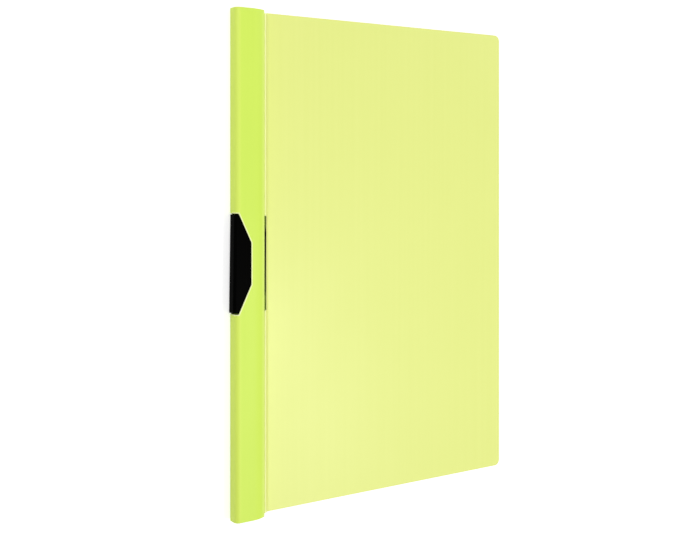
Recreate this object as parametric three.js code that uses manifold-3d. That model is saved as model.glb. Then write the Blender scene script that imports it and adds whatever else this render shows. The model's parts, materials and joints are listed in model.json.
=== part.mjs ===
// A4 clip folder, lying on its back cover, in millimetres.
// X runs from the spine to the fore edge, Y up the page and Z out of the front cover.
// The origin is below the middle of the folder, level with the lowest face it lies on.
import * as THREE from "three";
import { mergeVertices } from "three/addons/utils/BufferGeometryUtils.js";
import Module from "manifold-3d";

const wasm = await Module();
wasm.setup();

// Covers and spine
const folderWidth = 216.5;
const folderHeight = 310;
const backSheet = 0.6;
const frontSheet = 0.5;
const cornerRadius = 4;
const spineThickness = 10;
const foldRadius = 3; // outer radius of the two spine folds
const bandFlat = 11.7; // flat part of the front band, from the spine's outer face
const bandBendRadius = 15.7; // outer radius of the band's slope towards the cover
const bandBendAngle = 37;
const coverInset = 0.8; // both covers stop this far inside the band's ends
const insetStart = 2; // the back cover narrows this far under the band's edge
const coverGap = 0.3; // air between the closed covers

// Crease of the front cover, beside the band's edge
const creaseGap = 0.6;
const creaseDrop = 0.2;
const rampRun = 4.2; // how far the cover slopes down before it lies flat
const rampBendRadius = 2;
const marginWidthAngle = 26; // degrees of the band's slope that the welded margin covers
const weldGap = 0.1;
const marginEnd = 33; // the margin stops this far from mid-height, clear of the clip

// Swinging clip
const clipLength = 59.2;
const clipRise = 0.5; // its middle is this far above mid-height
const clipStandOut = 0.3; // its web stands this far out of the spine
const clipGauge = 0.8;
const clipFoldRadius = 1.7;
const clipBandGap = 0.35; // under the band
const clipSeatGap = 0.9; // above the back sheet, where the washer sits
const wingBendAngle = 40;
const flareAngle = 35;
const flareRadius = 3.2;
const lipLength = 0.5;
const backWingReach = 22;
const wingTopRadius = 11;
const wingBottomRadius = 12;
const pivotFromSpine = 4.8;
const pivotFromEnd = 5.4;
const restSwing = 0.8; // degrees that the clip stands open as found

// Openings
const windowClearance = 0.75; // beyond each end of the clip
const windowFold = 1.9; // from the spine's outer face to where the slants start
const windowDepth = 10.5; // from the spine's outer face to the window's short side
const windowShort = 25.3; // length of the short side
const notchLong = 38; // thumb notch in the back cover
const notchShort = 18;
const slotLength = 57.6; // slit in the front cover's crease
const slotClearance = 0.5; // past the clip's lip

// Rivet and washer at the clip's pivot
const rivetShank = 1.1; // radii
const rivetHead = 2.2;
const rivetTail = 2;
const rivetHeadThickness = 0.4;
const rivetTailThickness = 0.45;
const rivetClearance = 0.2;
const stackGap = 0.05; // between the rivet, washer, sheet and clip
const washerRadius = 2.1;

// Fineness of round stretches
const foldSteps = 10;
const slopeSteps = 12;
const roundSegments = 40;

const toRadians = (degrees) => (degrees * Math.PI) / 180;

const spineX = -folderWidth / 2;
const foreEdgeX = folderWidth / 2;
const bendX = spineX + bandFlat;
const bendCentreZ = spineThickness - bandBendRadius;
const bandEdgeX = bendX + bandBendRadius * Math.sin(toRadians(bandBendAngle));
const bandEdgeZ = bendCentreZ + bandBendRadius * Math.cos(toRadians(bandBendAngle));
const creaseX = bandEdgeX + creaseGap;
const creaseZ = bandEdgeZ - creaseDrop;
const coverHeight = folderHeight - 2 * coverInset;
const coverMidZ = backSheet + coverGap + frontSheet / 2;
const pivotX = spineX + pivotFromSpine;
const pivotY = clipRise + clipLength / 2 - pivotFromEnd;
const backWingZ = backSheet + clipSeatGap;

// Outline of a sheet of even thickness. It follows a centre line from start in the direction of
// heading, through moves that are either { ahead } or { turn, radius, steps }, angles in degrees.
function sheetOutline(start, heading, thickness, moves) {
  const point = start.clone();
  let angle = toRadians(heading);
  const left = [];
  const right = [];
  const mark = () => {
    const side = new THREE.Vector2(-Math.sin(angle), Math.cos(angle)).multiplyScalar(thickness / 2);
    left.push(point.clone().add(side));
    right.push(point.clone().sub(side));
  };
  mark();
  for (const move of moves) {
    if (move.ahead !== undefined) {
      point.add(new THREE.Vector2(Math.cos(angle), Math.sin(angle)).multiplyScalar(move.ahead));
      mark();
      continue;
    }
    const step = toRadians(move.turn) / move.steps;
    const chord = 2 * move.radius * Math.sin(Math.abs(step) / 2);
    for (let i = 0; i < move.steps; i += 1) {
      const along = angle + step / 2;
      point.add(new THREE.Vector2(Math.cos(along), Math.sin(along)).multiplyScalar(chord));
      angle += step;
      mark();
    }
  }
  return [...left, ...right.reverse()];
}

// A section drawn in X and Z, drawn out along Y between two ends.
function drawnOut(outline, fromY, toY) {
  const depth = toY - fromY;
  const geometry = new THREE.ExtrudeGeometry(new THREE.Shape(outline), { depth, bevelEnabled: false });
  geometry.rotateX(Math.PI / 2);
  geometry.translate(0, toY, 0);
  return geometry;
}

// A plan outline in X and Y, standing from one height to another.
function standing(shape, fromZ, toZ) {
  const depth = toZ - fromZ;
  const options = { depth, bevelEnabled: false, curveSegments: roundSegments / 4 };
  const geometry = new THREE.ExtrudeGeometry(shape, options);
  geometry.translate(0, 0, fromZ);
  return geometry;
}

function solid(geometry) {
  const bare = geometry.clone();
  bare.deleteAttribute("normal");
  bare.deleteAttribute("uv");
  const merged = mergeVertices(bare, 1e-4);
  const vertProperties = new Float32Array(merged.getAttribute("position").array);
  const triVerts = new Uint32Array(merged.index.array);
  return new wasm.Manifold(new wasm.Mesh({ numProp: 3, vertProperties, triVerts }));
}

function geometryOf(manifold) {
  const mesh = manifold.getMesh();
  const geometry = new THREE.BufferGeometry();
  geometry.setAttribute("position", new THREE.BufferAttribute(mesh.vertProperties, 3));
  geometry.setIndex(new THREE.BufferAttribute(mesh.triVerts, 1));
  geometry.computeVertexNormals();
  return geometry;
}

// Plan of a cover: square at the spine side, rounded at the fore edge.
function coverPlan(leftX, rightX, height, radiusBottom, radiusTop) {
  const half = height / 2;
  const plan = new THREE.Shape();
  plan.moveTo(leftX, -half);
  plan.lineTo(rightX - radiusBottom, -half);
  plan.absarc(rightX - radiusBottom, -half + radiusBottom, radiusBottom, -Math.PI / 2, 0, false);
  plan.absarc(rightX - radiusTop, half - radiusTop, radiusTop, 0, Math.PI / 2, false);
  plan.lineTo(leftX, half);
  plan.closePath();
  return plan;
}

// The back sheet's plan: the full height along the spine and band, then as tall as the front cover.
function backPlan() {
  const narrowX = bandEdgeX - insetStart;
  const plan = new THREE.Shape();
  plan.moveTo(spineX - 1, -folderHeight / 2);
  plan.lineTo(narrowX - coverInset, -folderHeight / 2);
  plan.lineTo(narrowX, -coverHeight / 2);
  plan.lineTo(foreEdgeX - cornerRadius, -coverHeight / 2);
  plan.absarc(foreEdgeX - cornerRadius, cornerRadius - coverHeight / 2, cornerRadius, -Math.PI / 2, 0, false);
  plan.absarc(foreEdgeX - cornerRadius, coverHeight / 2 - cornerRadius, cornerRadius, 0, Math.PI / 2, false);
  plan.lineTo(narrowX, coverHeight / 2);
  plan.lineTo(narrowX - coverInset, folderHeight / 2);
  plan.lineTo(spineX - 1, folderHeight / 2);
  plan.closePath();
  return plan;
}

// A four-cornered finger window that narrows away from the spine.
function fingerWindow(longSide, shortSide) {
  const foldX = spineX + windowFold;
  const innerX = spineX + windowDepth;
  return new THREE.Shape([
    new THREE.Vector2(foldX, clipRise - longSide / 2),
    new THREE.Vector2(innerX, clipRise - shortSide / 2),
    new THREE.Vector2(innerX, clipRise + shortSide / 2),
    new THREE.Vector2(foldX, clipRise + longSide / 2),
  ]);
}

function tall(shape) {
  return solid(standing(shape, -spineThickness, 2 * spineThickness));
}

const midHeight = spineThickness / 2;

// One sheet: back cover, spine and front band, with the clip's openings.
function backCoverGeometry() {
  const foldLine = foldRadius - backSheet / 2;
  const outline = sheetOutline(new THREE.Vector2(foreEdgeX, backSheet / 2), 180, backSheet, [
    { ahead: folderWidth - foldRadius },
    { turn: -90, radius: foldLine, steps: foldSteps },
    { ahead: spineThickness - 2 * foldRadius },
    { turn: -90, radius: foldLine, steps: foldSteps },
    { ahead: bandFlat - foldRadius },
    { turn: -bandBendAngle, radius: bandBendRadius - backSheet / 2, steps: slopeSteps },
  ]);
  const sheet = solid(drawnOut(outline, -folderHeight / 2, folderHeight / 2));
  const windowLong = clipLength + 2 * windowClearance;
  const spineSlot = new THREE.Shape([
    new THREE.Vector2(spineX - 1, clipRise - windowLong / 2),
    new THREE.Vector2(spineX + windowFold, clipRise - windowLong / 2),
    new THREE.Vector2(spineX + windowFold, clipRise + windowLong / 2),
    new THREE.Vector2(spineX - 1, clipRise + windowLong / 2),
  ]);
  const frontWindow = solid(standing(fingerWindow(windowLong, windowShort), midHeight, 2 * spineThickness));
  const backNotch = solid(standing(fingerWindow(notchLong, notchShort), -spineThickness, midHeight));
  const rivetHole = new THREE.Shape();
  rivetHole.absarc(pivotX, pivotY, rivetShank + rivetClearance, 0, 2 * Math.PI, false);
  const hole = solid(standing(rivetHole, -spineThickness, midHeight));
  const shape = sheet
    .intersect(tall(backPlan()))
    .subtract(tall(spineSlot))
    .subtract(frontWindow)
    .subtract(backNotch)
    .subtract(hole);
  return geometryOf(shape);
}

// The clip's front wing runs parallel to the band, then flares out to its lip.
const wingOuterRadius = bandBendRadius - backSheet - clipBandGap;
const wingTopZ = spineThickness - backSheet - clipBandGap;
const wingLine = wingOuterRadius - clipGauge / 2;
const flareEnd = wingBendAngle - flareAngle;
const lipX =
  bendX +
  wingLine * Math.sin(toRadians(wingBendAngle)) +
  flareRadius * (Math.sin(toRadians(wingBendAngle)) - Math.sin(toRadians(flareEnd))) +
  lipLength * Math.cos(toRadians(flareEnd)) +
  (clipGauge / 2) * Math.sin(toRadians(flareEnd));

// The front cover's slope, from the crease down to where it lies flat.
const rampDrop = creaseZ - coverMidZ;
const rampAngle = Math.atan2(rampDrop, rampRun);
const rampLength = Math.hypot(rampDrop, rampRun);
const rampTangent = rampBendRadius * Math.tan(rampAngle / 2);
const slotEdgeX = lipX + slotClearance;

// The hinged part of the front cover, with the slit for the clip's lip in its crease.
function frontCoverGeometry() {
  const start = new THREE.Vector2(creaseX, creaseZ);
  const outline = sheetOutline(start, -THREE.MathUtils.radToDeg(rampAngle), frontSheet, [
    { ahead: rampLength - rampTangent },
    { turn: THREE.MathUtils.radToDeg(rampAngle), radius: rampBendRadius, steps: foldSteps },
    { ahead: foreEdgeX - creaseX - rampRun - rampTangent },
  ]);
  const sheet = solid(drawnOut(outline, -coverHeight / 2, coverHeight / 2));
  const plan = coverPlan(bandEdgeX - 1, foreEdgeX, coverHeight, cornerRadius, cornerRadius);
  const slot = new THREE.Shape([
    new THREE.Vector2(bandEdgeX - 1, -slotLength / 2),
    new THREE.Vector2(slotEdgeX, -slotLength / 2),
    new THREE.Vector2(slotEdgeX, slotLength / 2),
    new THREE.Vector2(bandEdgeX - 1, slotLength / 2),
  ]);
  return geometryOf(sheet.intersect(tall(plan)).subtract(tall(slot)));
}

// The front cover's margin, welded under the band above and below the clip.
function marginGeometry(fromY, toY) {
  const radius = bandBendRadius - backSheet - weldGap - frontSheet / 2;
  const startAngle = bandBendAngle - marginWidthAngle;
  const start = new THREE.Vector2(
    bendX + radius * Math.sin(toRadians(startAngle)),
    bendCentreZ + radius * Math.cos(toRadians(startAngle)),
  );
  const outline = sheetOutline(start, -startAngle, frontSheet, [
    { turn: -marginWidthAngle, radius, steps: slopeSteps },
  ]);
  return drawnOut(outline, fromY, toY);
}

// The clip, bent from one strip of spring steel: back wing, web, front wing and flared lip.
// It is built about its pivot so that its group can turn it.
function clipGeometry() {
  const foldLine = clipFoldRadius - clipGauge / 2;
  const height = wingTopZ - backWingZ;
  const start = new THREE.Vector2(spineX + backWingReach, backWingZ + clipGauge / 2);
  const outline = sheetOutline(start, 180, clipGauge, [
    { ahead: clipStandOut + backWingReach - clipFoldRadius },
    { turn: -90, radius: foldLine, steps: foldSteps },
    { ahead: height - 2 * clipFoldRadius },
    { turn: -90, radius: foldLine, steps: foldSteps },
    { ahead: clipStandOut + bandFlat - clipFoldRadius },
    { turn: -wingBendAngle, radius: wingLine, steps: slopeSteps },
    { turn: flareAngle, radius: flareRadius, steps: foldSteps },
    { ahead: lipLength },
  ]);
  const channel = solid(drawnOut(outline, -clipLength / 2, clipLength / 2));
  const plan = coverPlan(spineX - 1, lipX, clipLength, wingBottomRadius, wingTopRadius);
  const pivotHole = new THREE.Shape();
  const pivotUp = clipLength / 2 - pivotFromEnd;
  pivotHole.absarc(pivotX, pivotUp, rivetShank + rivetClearance, 0, 2 * Math.PI, false);
  const hole = solid(standing(pivotHole, -spineThickness, midHeight));
  const geometry = geometryOf(channel.intersect(tall(plan)).subtract(hole));
  geometry.translate(-pivotX, -pivotUp, 0);
  return geometry;
}

// The rivet: outer head, shank through the back sheet, washer and wing, and a turned-over tail.
function rivetGeometry() {
  const tailZ = backWingZ + clipGauge + stackGap;
  const topZ = tailZ + rivetTailThickness;
  const edge = rivetTailThickness / 3;
  const profile = [
    new THREE.Vector2(0, -rivetHeadThickness),
    new THREE.Vector2(rivetHead - rivetHeadThickness / 2, -rivetHeadThickness),
    new THREE.Vector2(rivetHead, -rivetHeadThickness / 2),
    new THREE.Vector2(rivetHead, -stackGap),
    new THREE.Vector2(rivetShank, -stackGap),
    new THREE.Vector2(rivetShank, tailZ),
    new THREE.Vector2(rivetTail, tailZ),
    new THREE.Vector2(rivetTail, topZ - edge),
    new THREE.Vector2(rivetTail - edge, topZ),
    new THREE.Vector2(0, topZ),
  ];
  const geometry = new THREE.LatheGeometry(profile, roundSegments);
  geometry.rotateX(Math.PI / 2);
  return geometry;
}

// A flat ring that spaces the clip's back wing off the plastic.
function washerGeometry() {
  const ring = new THREE.Shape();
  ring.absarc(0, 0, washerRadius, 0, 2 * Math.PI, false);
  const bore = new THREE.Path();
  bore.absarc(0, 0, rivetShank + rivetClearance, 0, 2 * Math.PI, true);
  ring.holes.push(bore);
  return standing(ring, backSheet + stackGap, backWingZ - stackGap);
}

const plasticBand = new THREE.MeshStandardMaterial({ color: 0xd5f06a, roughness: 0.42, metalness: 0 });
const plasticCover = new THREE.MeshStandardMaterial({
  color: 0xe9f59a,
  roughness: 0.45,
  metalness: 0,
  transparent: true,
  opacity: 0.85,
});
const blackSteel = new THREE.MeshStandardMaterial({ color: 0x0c0d0b, roughness: 0.4, metalness: 0.2 });
const plainSteel = new THREE.MeshStandardMaterial({ color: 0xb8bbb6, roughness: 0.3, metalness: 1 });

function piece(name, geometry, material) {
  const mesh = new THREE.Mesh(geometry, material);
  mesh.name = name;
  return mesh;
}

const folder = new THREE.Group();
folder.add(piece("back_cover", backCoverGeometry(), plasticBand));
folder.add(piece("front_cover", frontCoverGeometry(), plasticCover));
folder.add(piece("cover_margin_top", marginGeometry(marginEnd, coverHeight / 2), plasticCover));
folder.add(piece("cover_margin_bottom", marginGeometry(-coverHeight / 2, -marginEnd), plasticCover));

const pivot = new THREE.Group();
pivot.position.set(pivotX, pivotY, 0);
pivot.add(piece("pivot_rivet", rivetGeometry(), plainSteel));
pivot.add(piece("pivot_washer", washerGeometry(), plainSteel));
const clip = piece("swing_clip", clipGeometry(), blackSteel);
clip.rotation.z = -toRadians(restSwing);
pivot.add(clip);
folder.add(pivot);

// Stand the lowest face on the origin's level and centre the folder over it.
const bounds = new THREE.Box3().setFromObject(folder, true);
const centre = bounds.getCenter(new THREE.Vector3());
folder.position.set(-centre.x, -centre.y, -bounds.min.z);

export default folder;
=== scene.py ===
import json
import math

import bmesh
import bpy
from mathutils import Matrix, Vector


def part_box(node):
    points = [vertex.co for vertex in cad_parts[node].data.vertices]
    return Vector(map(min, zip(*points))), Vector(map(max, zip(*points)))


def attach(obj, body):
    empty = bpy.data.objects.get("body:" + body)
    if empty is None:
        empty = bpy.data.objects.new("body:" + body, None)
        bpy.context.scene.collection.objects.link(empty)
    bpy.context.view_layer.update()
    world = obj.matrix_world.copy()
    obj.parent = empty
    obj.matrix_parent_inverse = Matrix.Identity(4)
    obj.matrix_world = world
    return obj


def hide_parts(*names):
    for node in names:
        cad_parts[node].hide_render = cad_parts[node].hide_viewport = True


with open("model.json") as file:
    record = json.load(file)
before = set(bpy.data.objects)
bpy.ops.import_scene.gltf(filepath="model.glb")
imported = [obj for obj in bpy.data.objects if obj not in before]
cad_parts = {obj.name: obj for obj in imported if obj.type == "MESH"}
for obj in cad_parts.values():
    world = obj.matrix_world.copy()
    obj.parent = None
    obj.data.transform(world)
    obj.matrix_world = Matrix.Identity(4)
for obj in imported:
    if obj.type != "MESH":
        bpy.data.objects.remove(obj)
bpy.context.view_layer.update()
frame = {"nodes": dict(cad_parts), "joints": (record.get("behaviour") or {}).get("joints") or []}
print("folder loaded")

# sizes below are in mm and degrees unless a note says metres
mm = 0.001
hair = 0.01  # a corner this near to a place counts as there
mergeWithin = 0.000001  # metres
towardsSpine = 180  # the heading across the folder, from the fore edge to the spine


def boxOf(node):
    low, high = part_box(node)
    return low / mm, high / mm


def jointPlace(name):
    joint = next(joint for joint in frame["joints"] if joint["name"] == name)
    return Vector(joint["pos_m"]) / mm


def endsOf(length, middle=0):
    return middle - length / 2, middle + length / 2


def mathNode(nodes, links, operation, *values):
    # each value is a number or another node's output
    node = nodes.new("ShaderNodeMath")
    node.operation = operation
    for socket, value in zip(node.inputs, values):
        if isinstance(value, (int, float)):
            socket.default_value = value
        else:
            links.new(value, socket)
    return node.outputs[0]


# the camera: the photo's view, turned so that the folder lies on its back
camera = {
    "place": (-399.4, 53.5, 570.7),
    "turn": 33.66,  # from straight down, about the page's upright
    "lens": 54.08,
    "shiftUp": -0.1297,
    "farthest": 20,  # metres
}


def addCamera():
    cam = bpy.data.cameras.new("camera")
    cam.lens = camera["lens"]
    cam.shift_y = camera["shiftUp"]
    cam.clip_end = camera["farthest"]
    holder = bpy.data.objects.new("camera", cam)
    bpy.context.scene.collection.objects.link(holder)
    turn = Matrix.Rotation(-math.radians(camera["turn"]), 4, "Y")
    holder.matrix_world = Matrix.Translation(Vector(camera["place"]) * mm) @ turn
    bpy.context.scene.camera = holder


addCamera()
print("camera set")

# light: a pale room, a soft lamp overhead, one beyond the spine and one beyond the fore edge,
# with their places and sizes in metres
light = {
    "room": 0.53,
    "key": {"place": (0.35, -0.27, 0.95), "size": 0.33, "power": 4},
    "fill": {"place": (-0.55, 0.36, 0.7), "size": 0.6, "power": 2.9},
    "low": {"place": (1.2, 0.6, 0.7), "size": 0.7, "power": 2.9},
}


def addLamp(name, place, size, power):
    lamp = bpy.data.lights.new(name, "AREA")
    lamp.shape = "SQUARE"
    lamp.size = size
    lamp.energy = power
    holder = bpy.data.objects.new(name, lamp)
    bpy.context.scene.collection.objects.link(holder)
    holder.location = place
    holder.rotation_euler = (-Vector(place)).to_track_quat("-Z", "Y").to_euler()


def seenDirectly(nodes, links):
    # 1 for camera, glossy and transmission rays, otherwise 0
    rays = nodes.new("ShaderNodeLightPath").outputs
    seen = mathNode(nodes, links, "MAXIMUM", rays["Is Camera Ray"], rays["Is Glossy Ray"])
    return mathNode(nodes, links, "MAXIMUM", seen, rays["Is Transmission Ray"])


def addRoom():
    world = bpy.data.worlds.new("room")
    bpy.context.scene.world = world
    world.use_nodes = True
    nodes = world.node_tree.nodes
    links = world.node_tree.links
    nodes.clear()
    seen = nodes.new("ShaderNodeBackground")
    seen.inputs["Strength"].default_value = 1
    dim = nodes.new("ShaderNodeBackground")
    dim.inputs["Strength"].default_value = light["room"]
    mix = nodes.new("ShaderNodeMixShader")
    out = nodes.new("ShaderNodeOutputWorld")
    links.new(seenDirectly(nodes, links), mix.inputs[0])
    links.new(dim.outputs[0], mix.inputs[1])
    links.new(seen.outputs[0], mix.inputs[2])
    links.new(mix.outputs[0], out.inputs[0])


addRoom()
addLamp("keyLamp", **light["key"])
addLamp("fillLamp", **light["fill"])
addLamp("lowLamp", **light["low"])
print("lights set")

# the floor: white to the camera, still taking the folder's shadow, its sizes in metres
floor = {
    "size": 12,
    "below": 0.0002,
    "colour": (0.9, 0.9, 0.9),
    "rough": 0.9,
    "gloss": 0,
    "glow": (1, 1, 1),
    "lift": 0.48,
}


def addFloor():
    bpy.ops.object.select_all(action="DESELECT")
    bpy.ops.mesh.primitive_plane_add(size=floor["size"], location=(0, 0, -floor["below"]))
    ground = bpy.context.object
    ground.name = "floor"
    mat = bpy.data.materials.new("whiteFloor")
    mat.use_nodes = True
    nodes = mat.node_tree.nodes
    links = mat.node_tree.links
    surface = nodes["Principled BSDF"]
    surface.inputs["Base Color"].default_value = (*floor["colour"], 1)
    surface.inputs["Roughness"].default_value = floor["rough"]
    surface.inputs["Specular IOR Level"].default_value = floor["gloss"]
    surface.inputs["Emission Color"].default_value = (*floor["glow"], 1)
    lift = mathNode(nodes, links, "MULTIPLY", seenDirectly(nodes, links), floor["lift"])
    links.new(lift, surface.inputs["Emission Strength"])
    ground.data.materials.append(mat)


addFloor()
print("floor laid")

# the folder's own measures, with its outer faces where the frame has them
backLow, backHigh = boxOf("back_cover")
folder = {
    "spine": backLow.x,
    "foreEdge": backHigh.x,
    "lowest": backLow.z,
    "thickness": backHigh.z - backLow.z,
    "halfHeight": backHigh.y,
    "inset": 0.8,  # both covers stop this far inside the band's ends
    "corner": 4,
    "cornerSteps": 10,
    "fold": 3,  # outer radius of the spine's two folds
    "bandFlat": 11.7,  # from the spine to where the band starts to bend
    "bandBend": 15.7,
    "bandAngle": 37,
    "stepBack": 2,  # the back sheet narrows this far under the band's edge
}
midHeight = folder["thickness"] / 2
bendStart = folder["spine"] + folder["bandFlat"]
bandEdge = bendStart + folder["bandBend"] * math.sin(math.radians(folder["bandAngle"]))
crease = jointPlace("cover_opens")
pivot = jointPlace("clip_swings")
pivotHole = 1.3  # radius

# the window over the clip narrows from the spine's fold to its deep side,
# and so does the thumb notch opposite it in the back cover
window = {
    "middle": 0.5,  # up the page
    "long": 60.7,
    "short": 25.3,
    "fold": 1.9,  # from the spine, where the slanted sides start
    "depth": 10.5,
    "notchLong": 38,
    "notchShort": 18,
}

# shared surface: faint clouding, streaks along the page from the sheet's rollers, and a fine sand
sheetLook = {
    "clouds": 9,
    "cloudDetail": 3,
    "streakAcross": 420,
    "streakAlong": 5,
    "streakDetail": 2,
    "streakShare": 0.35,  # of the tone
    "sand": 2600,
    "sandDetail": 1,
    "sandShare": 0.35,  # of the height
    "span": (0.3, 0.7),  # the noise that gives the first tone, and the last
    "depth": 0.0002,  # metres, of the grain at full strength
}


def noiseNode(nodes, links, place, scale, detail):
    node = nodes.new("ShaderNodeTexNoise")
    node.inputs["Scale"].default_value = scale
    node.inputs["Detail"].default_value = detail
    links.new(place, node.inputs["Vector"])
    return node.outputs["Fac"]


def spreadNode(nodes, links, noise):
    # stretches the noise's usual span to the whole range
    node = nodes.new("ShaderNodeMapRange")
    node.inputs["From Min"].default_value = sheetLook["span"][0]
    node.inputs["From Max"].default_value = sheetLook["span"][1]
    links.new(noise, node.inputs["Value"])
    return node


def mixTones(nodes, links, amount, first, second):
    # the second is a plain tone or another node's output
    node = nodes.new("ShaderNodeMix")
    node.data_type = "RGBA"
    links.new(amount, node.inputs["Factor"])
    links.new(first, node.inputs["A"])
    if isinstance(second, tuple):
        node.inputs["B"].default_value = (*second, 1)
    else:
        links.new(second, node.inputs["B"])
    return node.outputs["Result"]


def makeSheetGroup():
    group = bpy.data.node_groups.new("sheetSurface", "ShaderNodeTree")
    sockets = (
        ("Place", "INPUT", "NodeSocketVector"),
        ("Light Tone", "INPUT", "NodeSocketColor"),
        ("Deep Tone", "INPUT", "NodeSocketColor"),
        ("Smoothest", "INPUT", "NodeSocketFloat"),
        ("Roughest", "INPUT", "NodeSocketFloat"),
        ("Colour", "OUTPUT", "NodeSocketColor"),
        ("Roughness", "OUTPUT", "NodeSocketFloat"),
        ("Height", "OUTPUT", "NodeSocketFloat"),
    )
    for name, way, kind in sockets:
        group.interface.new_socket(name=name, in_out=way, socket_type=kind)
    nodes = group.nodes
    links = group.links
    given = nodes.new("NodeGroupInput").outputs
    result = nodes.new("NodeGroupOutput").inputs
    look = sheetLook
    clouds = noiseNode(nodes, links, given["Place"], look["clouds"], look["cloudDetail"])
    sand = noiseNode(nodes, links, given["Place"], look["sand"], look["sandDetail"])
    stretch = nodes.new("ShaderNodeMapping")
    stretch.inputs["Scale"].default_value = (
        look["streakAcross"],
        look["streakAlong"],
        look["streakAcross"],
    )
    links.new(given["Place"], stretch.inputs["Vector"])
    streaks = noiseNode(nodes, links, stretch.outputs["Vector"], 1, look["streakDetail"])
    blend = nodes.new("ShaderNodeMix")
    blend.inputs["Factor"].default_value = look["streakShare"]
    links.new(clouds, blend.inputs["A"])
    links.new(streaks, blend.inputs["B"])
    tone = spreadNode(nodes, links, blend.outputs["Result"]).outputs["Result"]
    colour = mixTones(nodes, links, tone, given["Light Tone"], given["Deep Tone"])
    rough = spreadNode(nodes, links, clouds)
    links.new(given["Smoothest"], rough.inputs["To Min"])
    links.new(given["Roughest"], rough.inputs["To Max"])
    height = mathNode(nodes, links, "MULTIPLY_ADD", sand, look["sandShare"], streaks)
    links.new(colour, result["Colour"])
    links.new(rough.outputs["Result"], result["Roughness"])
    links.new(height, result["Height"])
    return group


sheetSurface = makeSheetGroup()

# each finish: its two tones, smoothest and roughest, and how strong the grain is
bandTone = {
    "light": (0.65, 0.86, 0.093),
    "deep": (0.615, 0.83, 0.084),
    "rough": (0.5, 0.58),
    "grain": 0.06,
}
coverTone = {
    "light": (0.885, 0.955, 0.28),
    "deep": (0.86, 0.935, 0.26),
    "rough": (0.36, 0.42),
    "grain": 0.05,
    "alpha": 0.88,
}
# painted glow on the cut edges and their softened bevels: a paler, brighter tone standing in for
# light that the sheet carries out to its edges
edgeGlowTone = {
    "light": (0.95, 1.0, 0.55),
    "deep": (0.92, 0.98, 0.47),
    "rough": (0.3, 0.4),
    "grain": 0.02,
}
clipTone = {
    "light": (0.0009, 0.0009, 0.0007),
    "deep": (0.0005, 0.0005, 0.0004),
    "rough": (0.36, 0.46),
    "grain": 0.12,
    "gloss": 0.007,
}
steelTone = {
    "light": (0.62, 0.62, 0.6),
    "deep": (0.5, 0.5, 0.49),
    "rough": (0.24, 0.34),
    "grain": 0.03,
    "metal": 1,
}

# paler bands, each from one place across the folder to another: painted highlights on the cover's
# sloping ramp and along the band's bent edge, where the lamps catch them, and a paler, yellower
# tone over the spine and its folds
# painted highlight on the cover's ramp, which slopes down from the crease towards the lamps
coverRampHighlight = {
    "from": crease.x,
    "to": crease.x + 3.2,
    "fade": 0.8,
    "tone": (0.96, 1.0, 0.31),
    "strength": 0.7,
}
# painted highlight along the band's bent edge, where it turns towards the lamps
bandEdgeHighlight = {
    "from": bandEdge - 0.8,
    "to": bandEdge + 0.2,
    "fade": 2.8,
    "tone": (0.88, 1.0, 0.34),
    "strength": 0.33,
}
spineFold = {
    "from": folder["spine"] - 1,
    "to": folder["spine"] + 2,
    "fade": 2,
    "tone": (0.71, 0.87, 0.125),
    "strength": 0.75,
}

# the die-cut window: a painted glow round its rim, standing in for light that travels in the
# sheet and comes out at the cut
windowRimGlow = {"wide": 0.45, "fade": 0.4, "tone": (0.95, 1.0, 0.5), "strength": 0.85}


def fadeNode(nodes, links, distance, start, spec):
    # full strength as far as the start, fading to nothing beyond it
    node = nodes.new("ShaderNodeMapRange")
    node.interpolation_type = "SMOOTHSTEP"
    node.inputs["From Min"].default_value = start * mm
    node.inputs["From Max"].default_value = (start + spec["fade"]) * mm
    node.inputs["To Min"].default_value = spec["strength"]
    node.inputs["To Max"].default_value = 0
    links.new(distance, node.inputs["Value"])
    return node.outputs["Result"]


def creaseMask(nodes, links, place, spec):
    middle = (spec["from"] + spec["to"]) / 2
    half = abs(spec["to"] - spec["from"]) / 2
    away = mathNode(nodes, links, "SUBTRACT", place["X"], middle * mm)
    return fadeNode(nodes, links, mathNode(nodes, links, "ABSOLUTE", away), half, spec)


def upperHalf(nodes, links, place, mask):
    # keeps a mask on the band, off the back cover below it
    upper = mathNode(nodes, links, "GREATER_THAN", place["Z"], midHeight * mm)
    return mathNode(nodes, links, "MULTIPLY", mask, upper)


def bandMask(nodes, links, place, spec):
    return upperHalf(nodes, links, place, creaseMask(nodes, links, place, spec))


def rimMask(nodes, links, place, spec):
    # by the distance from the window's sides
    foldX = folder["spine"] + window["fold"]
    deepX = folder["spine"] + window["depth"]
    slant = Vector(((window["long"] - window["short"]) / 2, deepX - foldX)).normalized()
    offset = mathNode(nodes, links, "SUBTRACT", place["Y"], window["middle"] * mm)
    along = mathNode(nodes, links, "ABSOLUTE", offset)
    byEnd = mathNode(nodes, links, "SUBTRACT", along, window["long"] / 2 * mm)
    bySide = mathNode(nodes, links, "SUBTRACT", place["X"], deepX * mm)
    fromFold = mathNode(nodes, links, "SUBTRACT", place["X"], foldX * mm)
    across = mathNode(nodes, links, "MULTIPLY", fromFold, slant.x)
    lengthwise = mathNode(nodes, links, "MULTIPLY", byEnd, slant.y)
    bySlant = mathNode(nodes, links, "ADD", across, lengthwise)
    inward = mathNode(nodes, links, "MAXIMUM", bySlant, bySide)
    farthest = mathNode(nodes, links, "MAXIMUM", inward, byEnd)
    return upperHalf(nodes, links, place, fadeNode(nodes, links, farthest, spec["wide"], spec))


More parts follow.
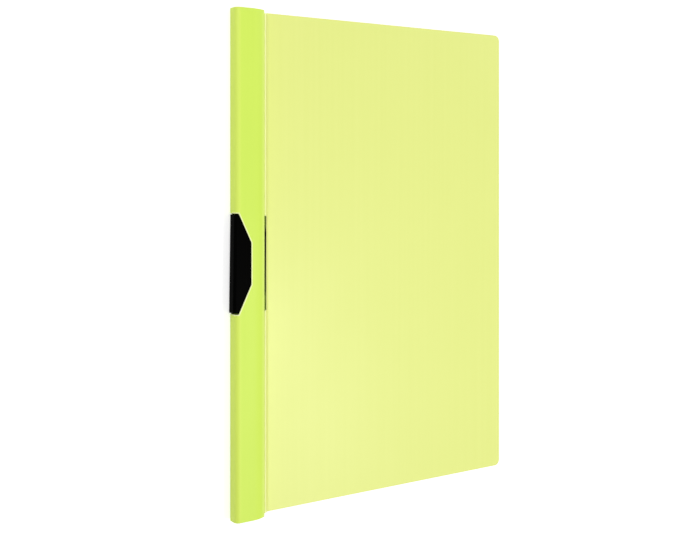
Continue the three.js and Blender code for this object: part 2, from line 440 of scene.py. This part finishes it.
def surfaceMaterial(name, tone, paler=()):
    # paler lists pairs of a mask and its measures, each laid over the ones before
    mat = bpy.data.materials.new(name)
    mat.use_nodes = True
    nodes = mat.node_tree.nodes
    links = mat.node_tree.links
    surface = nodes["Principled BSDF"]
    surface.inputs["Alpha"].default_value = tone.get("alpha", 1)
    surface.inputs["Metallic"].default_value = tone.get("metal", 0)
    surface.inputs["Specular IOR Level"].default_value = tone.get("gloss", 0.5)
    place = nodes.new("ShaderNodeTexCoord").outputs["Object"]
    look = nodes.new("ShaderNodeGroup")
    look.node_tree = sheetSurface
    look.inputs["Light Tone"].default_value = (*tone["light"], 1)
    look.inputs["Deep Tone"].default_value = (*tone["deep"], 1)
    look.inputs["Smoothest"].default_value = tone["rough"][0]
    look.inputs["Roughest"].default_value = tone["rough"][1]
    links.new(place, look.inputs["Place"])
    apart = nodes.new("ShaderNodeSeparateXYZ")
    links.new(place, apart.inputs[0])
    colour = look.outputs["Colour"]
    for mask, spec in paler:
        amount = mask(nodes, links, apart.outputs, spec)
        colour = mixTones(nodes, links, amount, colour, spec["tone"])
    bump = nodes.new("ShaderNodeBump")
    bump.inputs["Strength"].default_value = tone["grain"]
    bump.inputs["Distance"].default_value = sheetLook["depth"]
    links.new(look.outputs["Height"], bump.inputs["Height"])
    links.new(colour, surface.inputs["Base Color"])
    links.new(look.outputs["Roughness"], surface.inputs["Roughness"])
    links.new(bump.outputs["Normal"], surface.inputs["Normal"])
    return mat


# the band: paler over the spine, with a painted highlight along its bent edge and a painted glow
# round the window's rim
bandPaler = ((creaseMask, spineFold), (bandMask, bandEdgeHighlight), (rimMask, windowRimGlow))
bandPlastic = surfaceMaterial("bandPlastic", bandTone, bandPaler)
# the cover's sheet, with a painted highlight on its sloping ramp
coverPlastic = surfaceMaterial("coverPlastic", coverTone, ((creaseMask, coverRampHighlight),))
# the cut walls and bevels of the plastic sheets get the painted edge glow
cutEdgeGlow = surfaceMaterial("cutEdgeGlow", edgeGlowTone)
blackCoat = surfaceMaterial("blackCoat", clipTone)
rivetSteel = surfaceMaterial("rivetSteel", steelTone)
print("materials made")

# the cutting tools reach from below the folder to above it, and past its outer faces
cutting = {"low": -5, "high": 20, "past": 1, "roundSides": 40}

# faces that meet more sharply than these are softened, and shaded apart
sharpness = {"soften": 50, "shadeApart": 35}


def makeActive(thing):
    bpy.ops.object.select_all(action="DESELECT")
    thing.select_set(True)
    bpy.context.view_layer.objects.active = thing


def showEditing(thing):
    makeActive(thing)
    bpy.ops.object.mode_set(mode="EDIT")


def selectWhere(thing, test, kind="EDGE"):
    # test is given a corner's place
    bpy.ops.mesh.select_mode(type=kind)
    bpy.ops.mesh.select_all(action="DESELECT")
    shape = bmesh.from_edit_mesh(thing.data)
    for part in shape.verts if kind == "VERT" else shape.edges:
        corners = [part] if kind == "VERT" else part.verts
        if all(test(thing.matrix_world @ corner.co / mm) for corner in corners):
            part.select_set(True)
    shape.select_flush_mode()
    bmesh.update_edit_mesh(thing.data)


def startPanel(name, left, right, bottom, top, height):
    # a flat panel between two places across the folder and two up the page
    middle = Vector(((left + right) / 2, (bottom + top) / 2, height)) * mm
    bpy.ops.object.select_all(action="DESELECT")
    bpy.ops.mesh.primitive_plane_add(size=1, location=middle)
    thing = bpy.context.object
    thing.name = name
    showEditing(thing)
    bpy.ops.mesh.select_all(action="SELECT")
    bpy.ops.transform.resize(value=((right - left) * mm, (top - bottom) * mm, 1))
    return thing


def foldOn(place, heading, moves):
    # runs the selected edge on through straight stretches and bends, in X and Z:
    # ahead is given its length, and turn its angle, radius and number of steps
    x, z = place
    angle = math.radians(heading)
    for kind, amount, *bend in moves:
        if kind == "ahead":
            step = Vector((math.cos(angle), 0, math.sin(angle))) * amount
            bpy.ops.mesh.extrude_region_move(TRANSFORM_OT_translate={"value": step * mm})
            x += step.x
            z += step.z
            continue
        radius, steps = bend
        out = math.copysign(radius, amount)
        centre = Vector((x - out * math.sin(angle), 0, z + out * math.cos(angle)))
        turn = math.radians(amount)
        bpy.ops.mesh.spin(steps=steps, angle=turn, center=centre * mm, axis=(0, 1, 0))
        angle += turn
        x = centre.x + out * math.sin(angle)
        z = centre.z - out * math.cos(angle)


def roundCorners(thing, test, radius):
    selectWhere(thing, test, "VERT")
    steps = folder["cornerSteps"]
    bpy.ops.mesh.bevel(
        offset=radius * mm, offset_type="OFFSET", segments=steps, affect="VERTICES"
    )


def finishEditing(thing):
    bpy.ops.mesh.select_all(action="SELECT")
    bpy.ops.mesh.remove_doubles(threshold=mergeWithin)
    bpy.ops.mesh.normals_make_consistent(inside=False)
    bpy.ops.object.mode_set(mode="OBJECT")
    bpy.ops.object.transform_apply(location=True, rotation=True, scale=True)


def applyAll(thing):
    makeActive(thing)
    for modifier in list(thing.modifiers):
        bpy.ops.object.modifier_apply(modifier=modifier.name)


def thicken(thing, gauge, *mats):
    # the last material is also the one on the cut edges
    for mat in mats:
        thing.data.materials.append(mat)
    wall = thing.modifiers.new("gauge", "SOLIDIFY")
    wall.thickness = gauge * mm
    wall.offset = 0
    wall.use_even_offset = True
    wall.material_offset_rim = len(mats) - 1
    applyAll(thing)


def cut(thing, tool, way="DIFFERENCE"):
    knife = thing.modifiers.new("cut", "BOOLEAN")
    knife.operation = way
    knife.object = tool
    knife.solver = "EXACT"
    knife.material_mode = "TRANSFER"
    applyAll(thing)
    bpy.data.objects.remove(tool, do_unlink=True)


def softenEdges(thing, width, steps=2):
    bevel = thing.modifiers.new("softened", "BEVEL")
    bevel.width = width * mm
    bevel.segments = steps
    bevel.limit_method = "ANGLE"
    bevel.angle_limit = math.radians(sharpness["soften"])
    bevel.use_clamp_overlap = False
    bevel.harden_normals = True
    bevel.material = len(thing.data.materials) - 1
    makeActive(thing)
    bpy.ops.object.shade_smooth_by_angle(angle=math.radians(sharpness["shadeApart"]))
    applyAll(thing)


def raiseTool(tool, heights, edge):
    # the flat outline becomes a block, with the material that its cut leaves
    bpy.ops.mesh.select_all(action="SELECT")
    up = (0, 0, (heights[1] - heights[0]) * mm)
    bpy.ops.mesh.extrude_region_move(TRANSFORM_OT_translate={"value": up})
    finishEditing(tool)
    tool.data.materials.append(edge)


def standingTool(name, sides, ends, farEnds, heights, edge):
    # a block that may narrow towards its far side
    left, right = sides
    tool = startPanel(name, left, right, *ends, heights[0])
    ratio = (farEnds[1] - farEnds[0]) / (ends[1] - ends[0])
    selectWhere(tool, lambda place: place.x > right - hair)
    bpy.ops.transform.resize(value=(1, ratio, 1))
    raiseTool(tool, heights, edge)
    return tool


def pivotTool(name, heights, edge):
    bpy.ops.object.select_all(action="DESELECT")
    bpy.ops.mesh.primitive_cylinder_add(
        vertices=cutting["roundSides"],
        radius=pivotHole * mm,
        depth=(heights[1] - heights[0]) * mm,
        location=Vector((pivot.x, pivot.y, sum(heights) / 2)) * mm,
    )
    tool = bpy.context.object
    tool.name = name
    bpy.ops.object.transform_apply(location=True, rotation=True, scale=True)
    tool.data.materials.append(edge)
    return tool


backSheet = {"gauge": 0.6, "foldSteps": 18, "bandSteps": 24, "softening": 0.2}


def makeBackSheet():
    spec = backSheet
    gauge = spec["gauge"]
    half = folder["halfHeight"] - folder["inset"]
    height = folder["lowest"] + gauge / 2
    narrow = bandEdge - folder["stepBack"]
    thing = startPanel("backSheet", narrow, folder["foreEdge"], -half, half, height)
    roundCorners(thing, lambda place: place.x > folder["foreEdge"] - hair, folder["corner"])
    selectWhere(thing, lambda place: place.x < narrow + hair)
    stepEnd = narrow - folder["inset"]
    foldStart = folder["spine"] + folder["fold"]
    line = folder["fold"] - gauge / 2
    moves = [
        ("ahead", folder["inset"]),
        ("ahead", stepEnd - foldStart),
        ("turn", -90, line, spec["foldSteps"]),
        ("ahead", folder["thickness"] - 2 * folder["fold"]),
        ("turn", -90, line, spec["foldSteps"]),
        ("ahead", folder["bandFlat"] - folder["fold"]),
        ("turn", -folder["bandAngle"], folder["bandBend"] - gauge / 2, spec["bandSteps"]),
    ]
    foldOn((narrow, height), towardsSpine, moves)
    selectWhere(thing, lambda place: place.x < stepEnd + hair or place.z > height + gauge)
    bpy.ops.transform.resize(value=(1, folder["halfHeight"] / half, 1))
    finishEditing(thing)
    thicken(thing, gauge, bandPlastic, cutEdgeGlow)
    longEnds = endsOf(window["long"], window["middle"])
    shortEnds = endsOf(window["short"], window["middle"])
    notchEnds = endsOf(window["notchLong"], window["middle"])
    notchTips = endsOf(window["notchShort"], window["middle"])
    foldX = folder["spine"] + window["fold"]
    outer = (folder["spine"] - cutting["past"], foldX)
    inner = (foldX - hair, folder["spine"] + window["depth"])
    through = (cutting["low"], cutting["high"])
    above = (midHeight, cutting["high"])
    below = (cutting["low"], midHeight)
    cut(thing, standingTool("spineTool", outer, longEnds, longEnds, through, cutEdgeGlow))
    cut(thing, standingTool("windowTool", inner, longEnds, shortEnds, above, cutEdgeGlow))
    cut(thing, standingTool("notchTool", inner, notchEnds, notchTips, below, cutEdgeGlow))
    cut(thing, pivotTool("holeTool", below, cutEdgeGlow))
    softenEdges(thing, spec["softening"])
    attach(thing, "back")
    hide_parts("back_cover")


makeBackSheet()
print("back sheet, spine and band folded")

frontSheet = {
    "gauge": 0.5,
    "run": 4.2,  # how far the cover slopes down from its crease
    "bend": 2,
    "bendSteps": 14,
    "relief": 1.3,  # the crease stops this far short of the cover's ends
    "slot": 57.6,
    "slotStart": 2,  # before the crease, so that the slot cuts right through it
    "slotEdge": 23.735,  # from the spine
    "softening": 0.15,
}


def makeFrontSheet():
    spec = frontSheet
    half = folder["halfHeight"] - folder["inset"]
    height = boxOf("front_cover")[0].z + spec["gauge"] / 2
    drop = crease.z - height
    slope = math.atan2(drop, spec["run"])
    lead = spec["bend"] * math.tan(slope / 2)
    foot = crease.x + spec["run"] + lead
    thing = startPanel("frontSheet", foot, folder["foreEdge"], -half, half, height)
    roundCorners(thing, lambda place: place.x > folder["foreEdge"] - hair, folder["corner"])
    selectWhere(thing, lambda place: place.x < foot + hair)
    moves = [
        ("turn", -math.degrees(slope), spec["bend"], spec["bendSteps"]),
        ("ahead", math.hypot(drop, spec["run"]) - lead),
    ]
    foldOn((foot, height), towardsSpine, moves)
    bpy.ops.transform.resize(value=(1, 1 - spec["relief"] / half, 1))
    finishEditing(thing)
    thicken(thing, spec["gauge"], coverPlastic, cutEdgeGlow)
    sides = (crease.x - spec["slotStart"], folder["spine"] + spec["slotEdge"])
    ends = endsOf(spec["slot"])
    through = (cutting["low"], cutting["high"])
    cut(thing, standingTool("slotTool", sides, ends, ends, through, cutEdgeGlow))
    softenEdges(thing, spec["softening"])
    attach(thing, "cover")
    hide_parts("front_cover")


makeFrontSheet()
print("front cover creased")

# the cover's margin: welded under the band, it dips below the band's edge and comes up to the
# crease, and it is cut away beside the clip
margin = {
    "gauge": 0.5,
    "weldGap": 0.1,
    "width": 26,  # degrees round the band's bend
    "widthSteps": 12,
    "dip": 0.45,
    "dipAt": 36.5,
    "dipSteps": 8,
    "cutAway": 33,  # up and down the page from the middle
    "tongue": 3.8,  # runs on beside the crease towards the cover's slot
    "softening": 0.08,
}


def makeMargin(name, node, bottom, top):
    spec = margin
    radius = folder["bandBend"] - backSheet["gauge"] - spec["weldGap"] - spec["gauge"] / 2
    bendHeight = folder["lowest"] + folder["thickness"] - folder["bandBend"]
    lean = math.radians(spec["dipAt"])
    outward = Vector((math.sin(lean), math.cos(lean)))
    dip = Vector((bendStart, bendHeight)) + (radius + spec["dip"]) * outward
    reach = dip - crease.xz
    turn = math.asin(spec["dip"] / reach.length)
    heading = math.degrees(math.atan2(reach.y, reach.x) + turn) % 360
    ahead = Vector((math.cos(math.radians(heading)), math.sin(math.radians(heading))))
    step = ahead * (reach.length * math.cos(turn))
    under = crease.xz + step
    thing = startPanel(name, under.x, crease.x, bottom, top, crease.z)
    selectWhere(thing, lambda place: place.x < under.x + hair)
    bpy.ops.transform.translate(value=(0, 0, step.y * mm))
    moves = [
        ("turn", 180 - spec["dipAt"] - heading, spec["dip"], spec["dipSteps"]),
        ("turn", spec["width"], radius, spec["widthSteps"]),
    ]
    foldOn(under, heading, moves)
    near = min(bottom, top, key=abs)  # the end beside the clip
    selectWhere(thing, lambda place: abs(place.y - near) < hair and place.x > under.x - hair)
    tongue = Vector((0, math.copysign(spec["tongue"], -near), 0)) * mm
    bpy.ops.mesh.extrude_region_move(TRANSFORM_OT_translate={"value": tongue})
    finishEditing(thing)
    thicken(thing, spec["gauge"], coverPlastic, cutEdgeGlow)
    softenEdges(thing, spec["softening"])
    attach(thing, "back")
    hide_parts(node)


marginEnd = folder["halfHeight"] - folder["inset"] - frontSheet["relief"]
makeMargin("marginTop", "cover_margin_top", margin["cutAway"], marginEnd)
makeMargin("marginBottom", "cover_margin_bottom", -marginEnd, -margin["cutAway"])
print("margins welded")

springClip = {
    "gauge": 0.8,
    "length": 59.2,
    "standOut": 0.3,  # out of the spine
    "reach": 22,  # of the back wing, from the spine
    "fold": 1.7,
    "foldSteps": 16,
    "wingBend": 14.35,
    "wingAngle": 40,
    "wingSteps": 20,
    "flareBend": 3.2,
    "flareAngle": 35,
    "flareSteps": 12,
    "lip": 0.5,
    "tip": 23.235,  # of the lip, from the spine
    "topRadius": 11,
    "bottomRadius": 12,
    "planHeights": (-2, 13),  # of the outline that trims the clip
    "holeHeights": (-2, 5),  # so that only the back wing has the pivot's hole
    "swing": 0.8,
    "softening": 0.14,
    "softeningSteps": 3,
}


def makeSpringClip():
    spec = springClip
    middle = window["middle"]
    ends = endsOf(spec["length"], middle)
    clipLow, clipHigh = boxOf("swing_clip")
    low = clipLow.z + spec["gauge"] / 2
    high = clipHigh.z - spec["gauge"] / 2
    web = folder["spine"] - spec["standOut"]
    tip = folder["spine"] + spec["tip"]
    foldX = web + spec["fold"]
    line = spec["fold"] - spec["gauge"] / 2
    thing = startPanel("springClip", foldX, folder["spine"] + spec["reach"], *ends, low)
    selectWhere(thing, lambda place: place.x < foldX + hair)
    moves = [
        ("turn", -90, line, spec["foldSteps"]),
        ("ahead", high - low - 2 * line),
        ("turn", -90, line, spec["foldSteps"]),
        ("ahead", bendStart - foldX),
        ("turn", -spec["wingAngle"], spec["wingBend"], spec["wingSteps"]),
        ("turn", spec["flareAngle"], spec["flareBend"], spec["flareSteps"]),
        ("ahead", spec["lip"]),
    ]
    foldOn((foldX, low), towardsSpine, moves)
    finishEditing(thing)
    thicken(thing, spec["gauge"], blackCoat)
    heights = spec["planHeights"]
    plan = startPanel("planTool", web - cutting["past"], tip, *ends, heights[0])
    atTip = tip - hair
    roundCorners(plan, lambda place: place.x > atTip and place.y > middle, spec["topRadius"])
    roundCorners(plan, lambda place: place.x > atTip and place.y < middle, spec["bottomRadius"])
    raiseTool(plan, heights, blackCoat)
    cut(thing, plan, "INTERSECT")
    cut(thing, pivotTool("pivotTool", spec["holeHeights"], blackCoat))
    softenEdges(thing, spec["softening"], spec["softeningSteps"])
    showEditing(thing)
    bpy.ops.mesh.select_all(action="SELECT")
    swing = math.radians(spec["swing"])
    about = Vector((pivot.x, pivot.y, 0)) * mm
    bpy.ops.transform.rotate(value=swing, orient_axis="Z", center_override=about)
    bpy.ops.object.mode_set(mode="OBJECT")
    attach(thing, "clip")
    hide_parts("swing_clip")


makeSpringClip()
print("clip bent and swung")


def dress(node, mat):
    thing = frame["nodes"][node]
    for i in range(len(thing.data.materials)):
        thing.data.materials[i] = mat


dress("pivot_rivet", rivetSteel)
dress("pivot_washer", rivetSteel)
print("rivet and washer dressed")

bpy.context.scene.view_settings.view_transform = "Standard"
